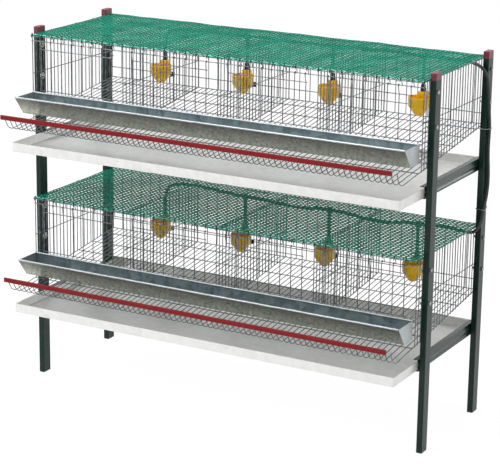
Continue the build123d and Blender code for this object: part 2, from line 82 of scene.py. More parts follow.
class CageSizes(bpy.types.PropertyGroup):
    """Sizes and counts of the wires, net and hose."""

    cells_per_bay: IntProperty(name="Front cells", description="Front wire cells per compartment", default=9)
    side_cells: IntProperty(name="Side cells", description="Wire cells from front to back", default=23)
    floor_cells: IntProperty(name="Floor cells", description="Floor wire cells from side to side", default=72)
    weld_offset: length_property("Weld offset", "Distance between the centres of two welded wires", 1.8)
    floor_cross: length_property("Floor cross pitch", "Distance between the floor's cross wires", 66.0)
    net_cells_x: IntProperty(name="Net cells across", description="Net cells from side to side", default=84)
    net_cells_y: IntProperty(name="Net cells deep", description="Net cells from front to back", default=28)
    net_strand: length_property("Net strand", "Width of a strand of the roof net", 2.8)
    net_thickness: length_property("Net thickness", "Thickness of the roof net", 1.9)
    net_bump: length_property("Net bump", "How far the net rises between the wires", 3.0)
    hose: length_property("Hose", "Outer diameter of the water hose", 8.0)


class CageColours(bpy.types.PropertyGroup):
    """Base colours of the finishes."""

    wire: colour_property("Wire", "Weathered galvanised wire", "85878b")
    wire_dark: colour_property("Wire, dull", "Dull patches on the wire", "515458")
    wire_knot: colour_property("Wire knots", "Blackened cut ends of the wire", "26282b")
    net: colour_property("Net", "Green roof net", "007a62")
    # Painted highlight: the pale colour stands in for light caught where the net's edge folds over the top wire
    net_edge: colour_property("Net edge", "Pale stretched edge of the net", "8fd6ca")
    strip: colour_property("Strip", "Dark red edging", "74040d")
    trough: colour_property("Trough", "Galvanised trough sheet", "a2afb2")
    trough_dark: colour_property("Trough, dull", "Darker zinc crystals", "6c7a7e")
    trough_outside: colour_property("Trough outside", "Weathered outside of the trough", "adb0a4")
    trough_rim: colour_property("Trough rim", "Bright rolled rim of the trough", "a9afb2")
    tray: colour_property("Tray", "Bright tray sheet", "e4e4e2")
    post: colour_property("Post", "Dark green paint", "08241d")
    cap: colour_property("Cap", "Maroon moulded caps", "64202f")
    drinker: colour_property("Drinker", "Yellow moulded cups", "ffc410")
    black: colour_property("Black plastic", "Black moulded fittings", "141516")
    hose: colour_property("Hose", "Water hose", "24282a")
    zinc: colour_property("Zinc", "Zinc-plated fasteners", "9a9b98")


def tier_places(tier):
    """Where the wires of a tier run, read from its nodes in the frame."""
    grille_low, grille_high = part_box(f"{tier}_front_grille")
    back_low, back_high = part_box(f"{tier}_back_mesh")
    floor_low, floor_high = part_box(f"{tier}_floor_mesh")
    sizes = bpy.context.scene.cage_sizes
    at = SimpleNamespace(tier=tier, roof=grille_high.z, left=grille_low.x, right=grille_high.x)
    at.wire = grille_high.y - grille_low.y
    at.radius = at.wire / 2
    at.front = (grille_low.y + grille_high.y) / 2
    at.back = (back_low.y + back_high.y) / 2
    at.inside_front = at.front + at.radius
    at.inside_back = at.back - at.radius
    at.grille_low = grille_low.z
    at.outer = at.left + at.radius
    at.bay = (at.right - at.left - at.wire) / 4
    at.partitions = [at.outer + at.bay * k for k in (1, 2, 3)]
    at.front_cell = at.bay / sizes.cells_per_bay
    at.side_cell = (at.inside_back - at.inside_front) / sizes.side_cells
    at.lip_y = floor_low.y + at.radius
    at.corner_y = at.front - 97.0 * MM
    at.corner_z = floor_low.z + at.radius
    at.floor_back = back_low.z + at.radius
    at.floor_left = floor_low.x + at.radius
    at.floor_right = floor_high.x - at.radius
    at.slope = (at.floor_back - at.corner_z) / (at.inside_back - at.corner_y)
    at.hinge = at.roof - 12.0 * MM
    at.rail = at.roof - 141.0 * MM
    return at


def rod(bm, start, end, radius, sides=8):
    """One straight wire with closed ends."""
    start, end = Vector(start), Vector(end)
    run = end - start
    turn = run.to_track_quat("Z", "Y").to_matrix().to_4x4()
    bmesh.ops.create_cone(bm, cap_ends=True, segments=sides, radius1=radius, radius2=radius, depth=run.length,
                          matrix=Matrix.Translation((start + end) / 2) @ turn)


def bent_wire(points, radius, sides=8):
    """Mesh of a wire along points: a circle carried from point to point, with closed ends."""
    points = [Vector(point) for point in points]
    runs = [(b - a).normalized() for a, b in zip(points, points[1:])]
    ways = [runs[0]] + [(a + b).normalized() for a, b in zip(runs, runs[1:])] + [runs[-1]]
    bm = bmesh.new()
    turn = ways[0].to_track_quat("Z", "Y").to_matrix().to_4x4()
    bmesh.ops.create_circle(bm, cap_ends=False, segments=sides, radius=radius,
                            matrix=Matrix.Translation(points[0]) @ turn)
    ring = list(bm.edges)
    bmesh.ops.edgeloop_fill(bm, edges=ring)
    for k in range(1, len(points)):
        made = bmesh.ops.extrude_edge_only(bm, edges=ring)["geom"]
        verts = [item for item in made if isinstance(item, bmesh.types.BMVert)]
        on_ring = set(verts)
        ring = [item for item in made if isinstance(item, bmesh.types.BMEdge) and set(item.verts) <= on_ring]
        bmesh.ops.translate(bm, vec=points[k] - points[k - 1], verts=verts)
        swing = ways[k - 1].rotation_difference(ways[k]).to_matrix()
        bmesh.ops.rotate(bm, cent=points[k], matrix=swing, verts=verts)
    bmesh.ops.edgeloop_fill(bm, edges=ring)
    mesh = bpy.data.meshes.new("bent_wire")
    bm.to_mesh(mesh)
    bm.free()
    return mesh


def stamp(bm, mesh, matrix):
    """Adds a placed copy of a small mesh."""
    copy = mesh.copy()
    copy.transform(matrix)
    bm.from_mesh(copy)
    bpy.data.meshes.remove(copy)


def make_piece(name, bm, materials, body, slot, *nodes):
    """Turns a bmesh into a piece that stands for its CAD nodes and rides on their body."""
    bmesh.ops.recalc_face_normals(bm, faces=bm.faces)
    mesh = bpy.data.meshes.new(name)
    bm.to_mesh(mesh)
    bm.free()
    mesh.shade_smooth()
    mesh.set_sharp_from_angle(angle=radians(40))
    piece = bpy.data.objects.new(name, mesh)
    bpy.context.scene.collection.objects.link(piece)
    for material in materials:
        mesh.materials.append(material)
    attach(piece, body)
    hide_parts(*nodes)
    return piece


def dress(node, material):
    """Gives a CAD node that keeps its shape its finish."""
    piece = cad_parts[node]
    if not piece.material_slots:
        piece.data.materials.append(material)
    for slot in piece.material_slots:
        slot.material = material


def per_size(size_mm):
    """Texture scale at which one feature measures that many millimetres."""
    return 1.0 / (size_mm * MM)


def add_node(tree, kind, inputs=None, **settings):
    """Adds a node. Settings are its own properties; inputs are values or the sockets that feed them."""
    node = tree.nodes.new(kind)
    for name, value in settings.items():
        setattr(node, name, value)
    for name, value in (inputs or {}).items():
        socket = node.inputs[name]
        if isinstance(value, bpy.types.NodeSocket):
            tree.links.new(value, socket)
        else:
            socket.default_value = value
    return node


def new_material(name):
    """An empty material, its node tree and its object coordinates."""
    material = bpy.data.materials.new(name)
    material.use_nodes = True
    tree = material.node_tree
    tree.nodes.clear()
    return material, tree, add_node(tree, "ShaderNodeTexCoord").outputs["Object"]


def rgba(colour, shade=1.0):
    """A linear colour, darker or lighter by a factor, with full alpha."""
    return (*[min(1.0, channel * shade) for channel in colour], 1.0)


def finish_surface(tree, tone, span, tones, grain, gloss, height, depth_mm, **constants):
    """Completes a material: two tones mixed by one pattern, roughness by another, and a bump."""
    share = add_node(tree, "ShaderNodeMapRange", {"Value": tone, "From Min": span[0], "From Max": span[1]})
    tint = add_node(tree, "ShaderNodeMix", {"Factor": share.outputs["Result"], 6: tones[0], 7: tones[1]},
                    data_type="RGBA")
    rough = add_node(tree, "ShaderNodeMapRange", {"Value": grain, "To Min": gloss[0], "To Max": gloss[1]})
    bump = add_node(tree, "ShaderNodeBump", {"Height": height, "Distance": depth_mm * MM, "Strength": 1.0})
    named = {name.replace("_", " "): value for name, value in constants.items()}
    shader = add_node(tree, "ShaderNodeBsdfPrincipled",
                      {"Base Color": tint.outputs[2], "Roughness": rough.outputs["Result"],
                       "Normal": bump.outputs["Normal"], **named})
    add_node(tree, "ShaderNodeOutputMaterial", {"Surface": shader.outputs["BSDF"]})


def galvanised_wire(colours):
    """Hot-dipped steel wire, weathered: dull grey zinc with darker runs and a soft metallic glint."""
    material, tree, place = new_material("galvanised_wire")
    runs = add_node(tree, "ShaderNodeTexNoise", {"Vector": place, "Scale": per_size(14), "Detail": 4.0})
    fine = add_node(tree, "ShaderNodeTexNoise", {"Vector": place, "Scale": per_size(1.5), "Detail": 2.0})
    finish_surface(tree, runs.outputs["Fac"], (0.35, 0.65), (rgba(colours.wire_dark), rgba(colours.wire)),
                   fine.outputs["Fac"], (0.32, 0.55), fine.outputs["Fac"], 0.04, Metallic=0.75)
    return material


def net_plastic(name, colour):
    """Moulded polyethylene net: waxy green with paler stretched strands and dust in the knots."""
    material, tree, place = new_material(name)
    wide = add_node(tree, "ShaderNodeTexNoise", {"Vector": place, "Scale": per_size(60), "Detail": 3.0})
    fine = add_node(tree, "ShaderNodeTexNoise", {"Vector": place, "Scale": per_size(4), "Detail": 3.0})
    both = add_node(tree, "ShaderNodeMath", {0: wide.outputs["Fac"], 1: fine.outputs["Fac"]})
    finish_surface(tree, both.outputs["Value"], (0.72, 1.28), (rgba(colour, 0.7), rgba(colour, 1.3)),
                   fine.outputs["Fac"], (0.42, 0.62), fine.outputs["Fac"], 0.15, Specular_IOR_Level=0.12)
    return material


def galvanised_sheet(name, bright, dull, spangle_mm, gloss=(0.28, 0.46), metallic=0.7, shaded=False):
    """Hot-dip galvanised sheet: zinc crystals of slightly different grey, each with its own gloss, and faint runs
    down the sheet. A trough's outside also gets painted shade: darkest just below its rim, and painted lighter
    further down."""
    material, tree, place = new_material(name)
    crystals = add_node(tree, "ShaderNodeTexVoronoi", {"Vector": place, "Scale": per_size(spangle_mm)})
    shade = add_node(tree, "ShaderNodeSeparateColor", {"Color": crystals.outputs["Color"]})
    tall = add_node(tree, "ShaderNodeMapping", {"Vector": place, "Scale": (1.0, 1.0, 0.15)})
    streak = add_node(tree, "ShaderNodeTexNoise", {"Vector": tall.outputs["Vector"], "Scale": per_size(9),
                                                   "Detail": 4.0})
    both = add_node(tree, "ShaderNodeMix", {"Factor": 0.6, "A": shade.outputs["Red"], "B": streak.outputs["Fac"]})
    tones = [rgba(dull), rgba(bright)]
    # Painted shade under the rolled rim: the outside is painted darkest 4 mm below the rim and lighter 38 mm below
    # it
    if shaded:
        lower, upper = (tier_places(tier).roof for tier in TIERS)
        pitch = upper - lower
        rim = (lower - 140.0 * MM) % pitch
        level = add_node(tree, "ShaderNodeSeparateXYZ", {"Vector": place})
        in_tier = add_node(tree, "ShaderNodeMath", {0: level.outputs["Z"], 1: pitch}, operation="MODULO")
        shade_under_rim = add_node(tree, "ShaderNodeMapRange", {"Value": in_tier.outputs["Value"],
                                                      "From Min": rim - 38.0 * MM, "From Max": rim - 4.0 * MM})
        tones = [add_node(tree, "ShaderNodeMix", {"Factor": shade_under_rim.outputs["Result"], 6: rgba(colour, 1.15),
                                                  7: rgba(colour, 0.36)}, data_type="RGBA").outputs[2]
                 for colour in (dull, bright)]
    finish_surface(tree, both.outputs["Result"], (0.2, 0.8), tones, shade.outputs["Green"], gloss,
                   streak.outputs["Fac"], 0.12, Metallic=metallic)
    return material


def plain_finish(name, colour, roughness, grain_mm, depth_mm, variation=0.15, **constants):
    """A moulded or painted surface: its colour a little uneven, its gloss broken by a fine grain."""
    material, tree, place = new_material(name)
    wide = add_node(tree, "ShaderNodeTexNoise", {"Vector": place, "Scale": per_size(35), "Detail": 4.0})
    grain = add_node(tree, "ShaderNodeTexNoise", {"Vector": place, "Scale": per_size(grain_mm), "Detail": 2.0})
    tones = (rgba(colour, 1 - variation), rgba(colour, 1 + variation))
    gloss = (roughness - 0.07, roughness + 0.07)
    finish_surface(tree, wide.outputs["Fac"], (0.3, 0.7), tones, grain.outputs["Fac"], gloss,
                   grain.outputs["Fac"], depth_mm, **constants)
    return material


class Finishes:
    """The materials of the cage, made once and shared by its pieces."""

    made = {}

    @classmethod
    def get(cls, name):
        if name not in cls.made:
            cls.made[name] = cls.make(name, bpy.context.scene.cage_colours)
        return cls.made[name]

    @staticmethod
    def make(name, colours):
        if name == "wire":
            return galvanised_wire(colours)
        if name == "knot":
            # Twisted wire ends: the zinc worn off by the pliers, the steel blackened
            return plain_finish("blackened_wire_ends", colours.wire_knot, 0.45, 2, 0.03, Metallic=0.6)
        if name == "net":
            return net_plastic("moulded_net", colours.net)
        # The edge cord's pale colour is a painted highlight along the fold
        if name == "net_edge":
            return net_plastic("net_edge_painted_highlight", colours.net_edge)
        if name == "trough":
            return galvanised_sheet("spangled_trough_sheet", colours.trough, colours.trough_dark, 14)
        # Weathered zinc outside, with painted shade below the rim
        if name == "trough_outside":
            dull = [c * 0.7 for c in colours.trough_outside]
            return galvanised_sheet("weathered_trough_outside_painted_shade", colours.trough_outside, dull, 10, (0.2, 0.34), 0.75,
                                    shaded=True)
        if name == "trough_rim":
            # The rolled rim is rubbed bright by hands and feed
            return plain_finish("rubbed_trough_rim", colours.trough_rim, 0.3, 4, 0.1, 0.12, Metallic=0.5)
        if name == "tray":
            dull = [c * 0.9 for c in colours.tray]
            return galvanised_sheet("bright_tray_sheet", colours.tray, dull, 16, (0.34, 0.5), 0.45)
        if name == "rail":
            # The same enamel as the posts, over folded sheet
            return plain_finish("enamelled_rail", colours.post, 0.26, 5, 0.05, Specular_IOR_Level=0.45)
        if name == "post":
            # Brushed-on enamel: almost black green, with a clear soft gloss
            return plain_finish("dark_green_enamel", colours.post, 0.3, 3, 0.05, Specular_IOR_Level=0.25)
        if name == "cap":
            # Moulded polyethylene: satin, with slight flow marks
            return plain_finish("moulded_maroon_cap", colours.cap, 0.42, 2, 0.03)
        if name == "strip":
            # Extruded soft PVC: glossy, drawn lengthwise
            return plain_finish("extruded_pvc_strip", colours.strip, 0.34, 6, 0.03, Specular_IOR_Level=0.25)
        if name == "drinker":
            # Moulded ABS: glossy yellow, light passing through the thin rim
            return plain_finish("moulded_yellow_abs", colours.drinker, 0.26, 3, 0.02, 0.08,
                                Subsurface_Weight=0.1)
        if name == "black":
            # Moulded nylon: black, satin
            return plain_finish("moulded_black_nylon", colours.black, 0.45, 1.5, 0.03)
        if name == "hose":
            # Extruded rubber: matt, with a dusty bloom
            return plain_finish("extruded_rubber_hose", colours.hose, 0.5, 2, 0.04, 0.25)
        if name == "zinc":
            # Zinc-plated steel: bright, slightly yellowed and cloudy
            return plain_finish("zinc_plated_steel", colours.zinc, 0.3, 1.2, 0.02, Metallic=0.9)
        # Polished stainless steel pin: mirror bright with fine turning marks
        return plain_finish("polished_pin_steel", colours.tray, 0.12, 0.5, 0.005, 0.05, Metallic=1.0)


def upright_wires(bm, at, x, inside, foot_lift, first, rng):
    """Wires of a side or partition: uprights, top and mid wires and the sloping foot."""
    offset = inside * bpy.context.scene.cage_sizes.weld_offset
    cells = bpy.context.scene.cage_sizes.side_cells
    for k in range(first, cells + 1):
        y = at.inside_front + at.side_cell * k
        y = min(max(y, at.inside_front + at.radius), at.inside_back - at.radius)
        foot = at.floor_back - at.slope * (at.inside_back - y) + foot_lift - at.radius
        lean = rng.uniform(-0.7, 0.7) * MM
        rod(bm, (x, y + lean, foot), (x, y - lean, at.roof - 0.3 * MM), at.radius, 6)
    start, end = at.inside_front, at.inside_back
    for z in (at.roof - at.radius, at.roof - 94.0 * MM):
        rod(bm, (x + offset, start, z), (x + offset, end, z), at.radius)
    low = at.floor_back - at.slope * (end - start) + foot_lift
    rod(bm, (x + offset, start, low), (x + offset, end, at.floor_back + foot_lift), at.radius)


class CAGE_OT_sides(bpy.types.Operator):
    """Left and right meshes and the three partitions of each tier."""

    bl_idname = "cage.sides"
    bl_label = "Sides and partitions"

    def execute(self, context):
        rng = random.Random(11)
        for tier in TIERS:
            at = tier_places(tier)
            walls = [("left_mesh", at.left + at.radius, 1, 0.0), ("right_mesh", at.right - at.radius, -1, 0.0)]
            walls += [(f"partition_{k}", x, 1, at.wire) for k, x in enumerate(at.partitions, 1)]
            for wall, x, inside, lift in walls:
                bm = bmesh.new()
                upright_wires(bm, at, x, inside, lift, 1 if "partition" in wall else 0, rng)
                node = f"{tier}_{wall}"
                make_piece(f"{node}_wires", bm, [Finishes.get("wire")], "root", "mesh_wire", node)
        return {"FINISHED"}


class CAGE_OT_backs(bpy.types.Operator):
    """Rear mesh of each tier."""

    bl_idname = "cage.backs"
    bl_label = "Rear meshes"

    def execute(self, context):
        rng = random.Random(12)
        sizes = context.scene.cage_sizes
        for tier in TIERS:
            at = tier_places(tier)
            bm = bmesh.new()
            for k in range(4 * sizes.cells_per_bay + 1):
                x = at.outer + at.front_cell * k
                lean = rng.uniform(-0.8, 0.8) * MM
                low = (x + lean, at.back, at.floor_back - at.radius)
                rod(bm, low, (x - lean, at.back, at.roof - 0.3 * MM), at.radius, 6)
            for z in (at.roof - at.radius, at.roof - 138.0 * MM, at.floor_back):
                y = at.back - sizes.weld_offset
                rod(bm, (at.left, y, z), (at.right, y, z), at.radius)
            node = f"{tier}_back_mesh"
            make_piece(f"{node}_wires", bm, [Finishes.get("wire")], "root", "mesh_wire", node)
        return {"FINISHED"}


class CAGE_OT_grilles(bpy.types.Operator):
    """Fixed front of each tier: feeding grille, uprights, top wire, hinge wire and the hooked wire ends."""

    bl_idname = "cage.grilles"
    bl_label = "Front grilles"

    def execute(self, context):
        rng = random.Random(13)
        sizes = context.scene.cage_sizes
        for tier in TIERS:
            at = tier_places(tier)
            bm = bmesh.new()
            behind = at.front + sizes.weld_offset
            low = at.grille_low + at.radius
            for k in range(4 * sizes.cells_per_bay + 1):
                x = at.outer + at.front_cell * k
                if k % sizes.cells_per_bay == 0:
                    top = at.roof - 0.3 * MM
                else:
                    top = at.rail + 0.5 * MM
                    lean = rng.uniform(1.0, 3.0) * MM
                    hooked = (x + 2.9 * MM, behind - 0.6 * MM, at.roof - 0.5 * MM)
                    rod(bm, hooked, (x + 2.9 * MM + lean, behind, at.hinge - 2.0 * MM), at.radius * 0.9, 6)
                rod(bm, (x, behind, low - 0.6 * MM), (x, behind, top), at.radius, 6)
                knot = ((x, behind + 1 * MM, at.roof - 2 * MM), (x, behind + 2 * MM, at.roof + 4.5 * MM),
                        (x + 1.5 * MM, at.front - 1.5 * MM, at.roof + 6.8 * MM),
                        (x + 2.5 * MM, at.front - 4.4 * MM, at.roof + 3 * MM),
                        (x + 1.0 * MM, at.front - 3.4 * MM, at.roof - 4 * MM))
                add_wire(bm, bent_wire(knot, at.radius, 6), 1)
            for z in (at.roof - at.radius, at.hinge, at.rail, low):
                rod(bm, (at.left, at.front, z), (at.right, at.front, z), at.radius)
            node = f"{tier}_front_grille"
            materials = [Finishes.get("wire"), Finishes.get("knot")]
            make_piece(f"{node}_wires", bm, materials, "root", "mesh_wire", node)
        return {"FINISHED"}


def door_upright(at, low, mid, lean):
    """Mesh of a door upright at x = 0: straight, then leaning to a loop round the hinge wire."""
    plane = at.front - at.wire - 0.3 * MM
    loop = at.wire + 0.1 * MM
    points = [(0, plane, low), (0, plane, mid), (lean * 0.5, plane, (mid + at.hinge) / 2)]
    for k in range(8):
        angle = pi + k * pi / 5
        points.append((lean, at.front + loop * cos(angle), at.hinge - loop * sin(angle)))
    return bent_wire(points, at.radius, 6)


class CAGE_OT_doors(bpy.types.Operator):
    """Lift-up wire doors, each hung on the hinge wire by the looped ends of its uprights."""

    bl_idname = "cage.doors"
    bl_label = "Doors"

    def execute(self, context):
        rng = random.Random(14)
        for tier in TIERS:
            at = tier_places(tier)
            mid = at.roof - 32.0 * MM
            for number in (1, 2, 3, 4):
                node = f"{tier}_door_{number}"
                low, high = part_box(node)
                first, last = low.x + at.radius, high.x - at.radius
                cells = round((last - first) / at.front_cell)
                bm = bmesh.new()
                for k in range(cells + 1):
                    lean = rng.choice((0.0, 0.4, 1.0)) * 3.0 * MM
                    upright = door_upright(at, low.z, mid, -lean)
                    stamp(bm, upright, Matrix.Translation((first + at.front_cell * k, 0, 0)))
                    bpy.data.meshes.remove(upright)
                y = at.front - at.wire - 0.3 * MM + 1.7 * MM
                for z in (low.z + at.radius, mid):
                    rod(bm, (low.x - 1.5 * MM, y, z), (high.x + 1.5 * MM, y, z), at.radius)
                make_piece(f"{node}_wires", bm, [Finishes.get("wire")], node, "mesh_wire", node)
        return {"FINISHED"}


def curve_points(start, control, end, steps):
    """Points of a quadratic curve in the Y-Z plane, without its first point."""
    found = []
    for k in range(1, steps + 1):
        t = k / steps
        a, b, c = (1 - t) ** 2, 2 * t * (1 - t), t * t
        found.append((0, a * start[0] + b * control[0] + c * end[0], a * start[1] + b * control[1] + c * end[1]))
    return found


class CAGE_OT_floors(bpy.types.Operator):
    """Sloping floor of each tier, with its wires curled up in front into the egg lip."""

    bl_idname = "cage.floors"
    bl_label = "Floors"

    def execute(self, context):
        sizes = context.scene.cage_sizes
        for tier in TIERS:
            at = tier_places(tier)
            knee = at.roof - 192.5 * MM
            top = at.roof - 182.0 * MM
            bend = (at.corner_y + 10 * MM, at.corner_z + at.slope * 10 * MM)
            rise = (at.corner_y - 12 * MM, at.corner_z + 8.5 * MM)
            points = [(0, at.inside_back - at.radius, at.floor_back), (0, *bend)]
            points += curve_points(bend, (at.corner_y, at.corner_z), rise, 4)
            points += curve_points(rise, (at.lip_y, knee + 1 * MM), (at.lip_y, top), 4)
            wire = bent_wire(points, at.radius, 6)
            bm = bmesh.new()
            pitch = (at.floor_right - at.floor_left) / sizes.floor_cells
            for k in range(sizes.floor_cells + 1):
                stamp(bm, wire, Matrix.Translation((at.floor_left + pitch * k, 0, 0)))
            bpy.data.meshes.remove(wire)
            crosses = [at.front - 3.0 * MM + sizes.floor_cross * k for k in range(6)]
            for y in crosses:
                z = at.floor_back - at.slope * (at.inside_back - y) - sizes.weld_offset
                rod(bm, (at.floor_left, y, z), (at.floor_right, y, z), at.radius)
            node = f"{tier}_floor_mesh"
            make_piece(f"{node}_wires", bm, [Finishes.get("wire")], "root", "mesh_wire", node)
        return {"FINISHED"}


def net_rise(x, y, bump):
    """How far the net stands above the top wires there: long soft waves, none below the wires."""
    wave = noise.noise(Vector((x * 9.0, y * 5.0, 0.3))) + 0.5 * noise.noise(Vector((x * 30.0, y * 14.0, 4.1)))
    return bump * (0.35 + 0.55 * wave + 0.1 * sin(x * 61.0))


class CAGE_OT_nets(bpy.types.Operator):
    """Plastic net over each tier, with its stretched edge cords and cut strand ends."""

    bl_idname = "cage.nets"
    bl_label = "Roof nets"

    def execute(self, context):
        sizes = context.scene.cage_sizes
        rng = random.Random(15)
        for tier in TIERS:
            node = f"{tier}_roof_net"
            low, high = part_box(node)
            middle = (low + high) / 2
            half = (high - low) / 2
            bm = bmesh.new()
            bmesh.ops.create_grid(bm, x_segments=sizes.net_cells_x, y_segments=sizes.net_cells_y, size=1.0)
            bmesh.ops.scale(bm, vec=(half.x, half.y, 1.0), verts=bm.verts)
            bmesh.ops.translate(bm, vec=(middle.x, middle.y, low.z + 0.2 * MM), verts=bm.verts)
            cells = list(bm.faces)
            bmesh.ops.inset_individual(bm, faces=cells, thickness=sizes.net_strand / 2, use_even_offset=True)
            bmesh.ops.delete(bm, geom=cells, context="FACES_ONLY")
            for vert in bm.verts:
                vert.co.z += max(0.0, net_rise(vert.co.x, vert.co.y, sizes.net_bump))
            bmesh.ops.solidify(bm, geom=list(bm.faces), thickness=-sizes.net_thickness)
            pitch = 2 * half.x / sizes.net_cells_x
            for y, out in ((low.y, -1), (high.y, 1)):
                for k in range(sizes.net_cells_x + 1):
                    x = min(max(low.x + pitch * k, low.x + 1.2 * MM), high.x - 1.2 * MM)
                    reach = rng.uniform(1.0, 4.5) * MM
                    z = low.z + 1.1 * MM + max(0.0, net_rise(x, y, sizes.net_bump))
                    end = (x + rng.uniform(-1, 1) * MM, y + out * reach, z - rng.uniform(0.0, 1.5) * MM)
                    rod(bm, (x, y - out * MM, z), end, sizes.net_strand * 0.42, 6)
            edge = bmesh.new()
            y = low.y + 1.5 * MM
            points = []
            steps = 4 * 36
            for k in range(steps + 1):
                x = low.x + 1.2 * MM + (2 * half.x - 2.4 * MM) * k / steps
                lift = 1.6 * MM + 0.9 * MM * sin(tau * k / 4 + 0.6) + rng.uniform(-0.3, 0.3) * MM
                points.append((x, y, low.z + lift + max(0.0, net_rise(x, y, sizes.net_bump))))
            add_wire(edge, bent_wire(points, 1.2 * MM, 6), 0)
            make_piece(f"{node}_strands", bm, [Finishes.get("net")], "root", "net_plastic", node)
            make_piece(f"{node}_edge", edge, [Finishes.get("net_edge")], "root", "net_plastic", node)
            dress(f"{tier}_net_rings", Finishes.get("zinc"))
        return {"FINISHED"}


def folded_profile(bm, points, length, direction):
    """Open folded sheet: a profile of a few corners, extruded along a direction. Returns its faces."""
    verts = [bm.verts.new(point) for point in points]
    edges = [bm.edges.new(pair) for pair in zip(verts, verts[1:])]
    made = bmesh.ops.extrude_edge_only(bm, edges=edges)["geom"]
    moved = [item for item in made if isinstance(item, bmesh.types.BMVert)]
    bmesh.ops.translate(bm, vec=Vector(direction) * length, verts=moved)
    return [item for item in made if isinstance(item, bmesh.types.BMFace)]


def add_sheet(bm, sheet, thickness, index):
    """Gives an open folded sheet its thickness and adds it to a piece, with that material."""
    bmesh.ops.remove_doubles(sheet, verts=sheet.verts, dist=0.05 * MM)
    bmesh.ops.recalc_face_normals(sheet, faces=sheet.faces)
    bmesh.ops.solidify(sheet, geom=list(sheet.faces), thickness=thickness)
    bmesh.ops.recalc_face_normals(sheet, faces=sheet.faces)
    for face in sheet.faces:
        face.material_index = index
    mesh = bpy.data.meshes.new("sheet")
    sheet.to_mesh(mesh)
    sheet.free()
    bm.from_mesh(mesh)
    bpy.data.meshes.remove(mesh)


def add_wire(bm, mesh, index):
    """Adds a bent wire to a piece with that material, and removes its mesh."""
    for polygon in mesh.polygons:
        polygon.material_index = index
    bm.from_mesh(mesh)
    bpy.data.meshes.remove(mesh)


class CAGE_OT_troughs(bpy.types.Operator):
    """Feed troughs: folded sheet with rolled rims, end plates with turned edges and three hooks."""

    bl_idname = "cage.troughs"
    bl_label = "Feed troughs"

    def execute(self, context):
        sheet = 0.9 * MM
        roll = 2.3 * MM
        inside, outside, rim_index = 0, 1, 2
        rng = random.Random(16)
        for tier in TIERS:
            node = f"{tier}_feed_trough"
            at = tier_places(tier)
            low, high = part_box(node)
            back_y = at.front - at.radius - 3.1 * MM
            mouth_y = back_y - 77.8 * MM
            floor_y = back_y - 43.8 * MM
            rim = at.roof - 140.0 * MM
            bottom = rim - 45.0 * MM
            length = high.x - low.x
            bm = bmesh.new()
            bend = 2.5 * MM
            lining = bmesh.new()
            skin = bmesh.new()
            profile = ((back_y - sheet, rim), (back_y - sheet, bottom + bend),
                       (back_y - sheet - bend * 0.3, bottom + bend * 0.3), (back_y - sheet - bend, bottom),
                       (floor_y + bend, bottom), (floor_y + bend * 0.2, bottom + bend * 0.15),
                       (floor_y - bend * 0.4, bottom + bend), (mouth_y, rim))
            folded_profile(lining, [(low.x, y, z) for y, z in profile], length, (1, 0, 0))
            bmesh.ops.recalc_face_normals(lining, faces=lining.faces)
            add_sheet(bm, lining, sheet * 0.5, inside)
            shift = Vector((0, -0.35 * MM, -0.75 * MM))
            folded_profile(skin, [Vector((low.x, y, z)) + shift for y, z in profile[4:]], length, (1, 0, 0))
            add_sheet(bm, skin, sheet * 0.4, outside)
            for x in (low.x + sheet, high.x - sheet):
                plate = bmesh.new()
                corners = ((back_y, rim), (back_y, bottom), (floor_y, bottom), (mouth_y, rim))
                verts = [plate.verts.new((x, y, z)) for y, z in corners]
                plate.faces.new(verts)
                bmesh.ops.inset_region(plate, faces=list(plate.faces), thickness=3.0 * MM,
                                       depth=0.0, use_even_offset=True)
                add_sheet(bm, plate, sheet * 0.9, rim_index)
                edge = [(x, y, z) for y, z in corners]
                add_wire(bm, bent_wire(edge, 0.9 * MM, 6), outside)
            for y, along in ((mouth_y, -1), (back_y - roll, 1)):
                points = []
                steps = 48
                for k in range(steps + 1):
                    x = low.x + 0.6 * MM + (length - 1.2 * MM) * k / steps
                    dent = rng.uniform(-0.25, 0.25) * MM
                    points.append((x, y + dent, rim + dent * 0.5))
                add_wire(bm, bent_wire(points, roll, 10), rim_index)
            hook_low, hook_high = at.rail - 8.6 * MM, at.rail + at.radius + 0.9 * MM
            for x in at.partitions:
                hook = ((x + 3.5 * MM, back_y + 0.8 * MM, hook_low), (x + 3.5 * MM, back_y + 0.8 * MM, hook_high),
                        (x + 3.5 * MM, at.front + at.radius + 1.0 * MM, hook_high),
                        (x + 3.5 * MM, at.front + at.radius + 1.0 * MM, hook_low + 2.0 * MM))
                add_wire(bm, bent_wire(hook, 0.7 * MM, 8), rim_index)
            materials = [Finishes.get("trough"), Finishes.get("trough_outside"), Finishes.get("trough_rim")]
            make_piece(f"{node}_sheet", bm, materials, f"{tier}_trough", "trough_sheet", node)
        return {"FINISHED"}


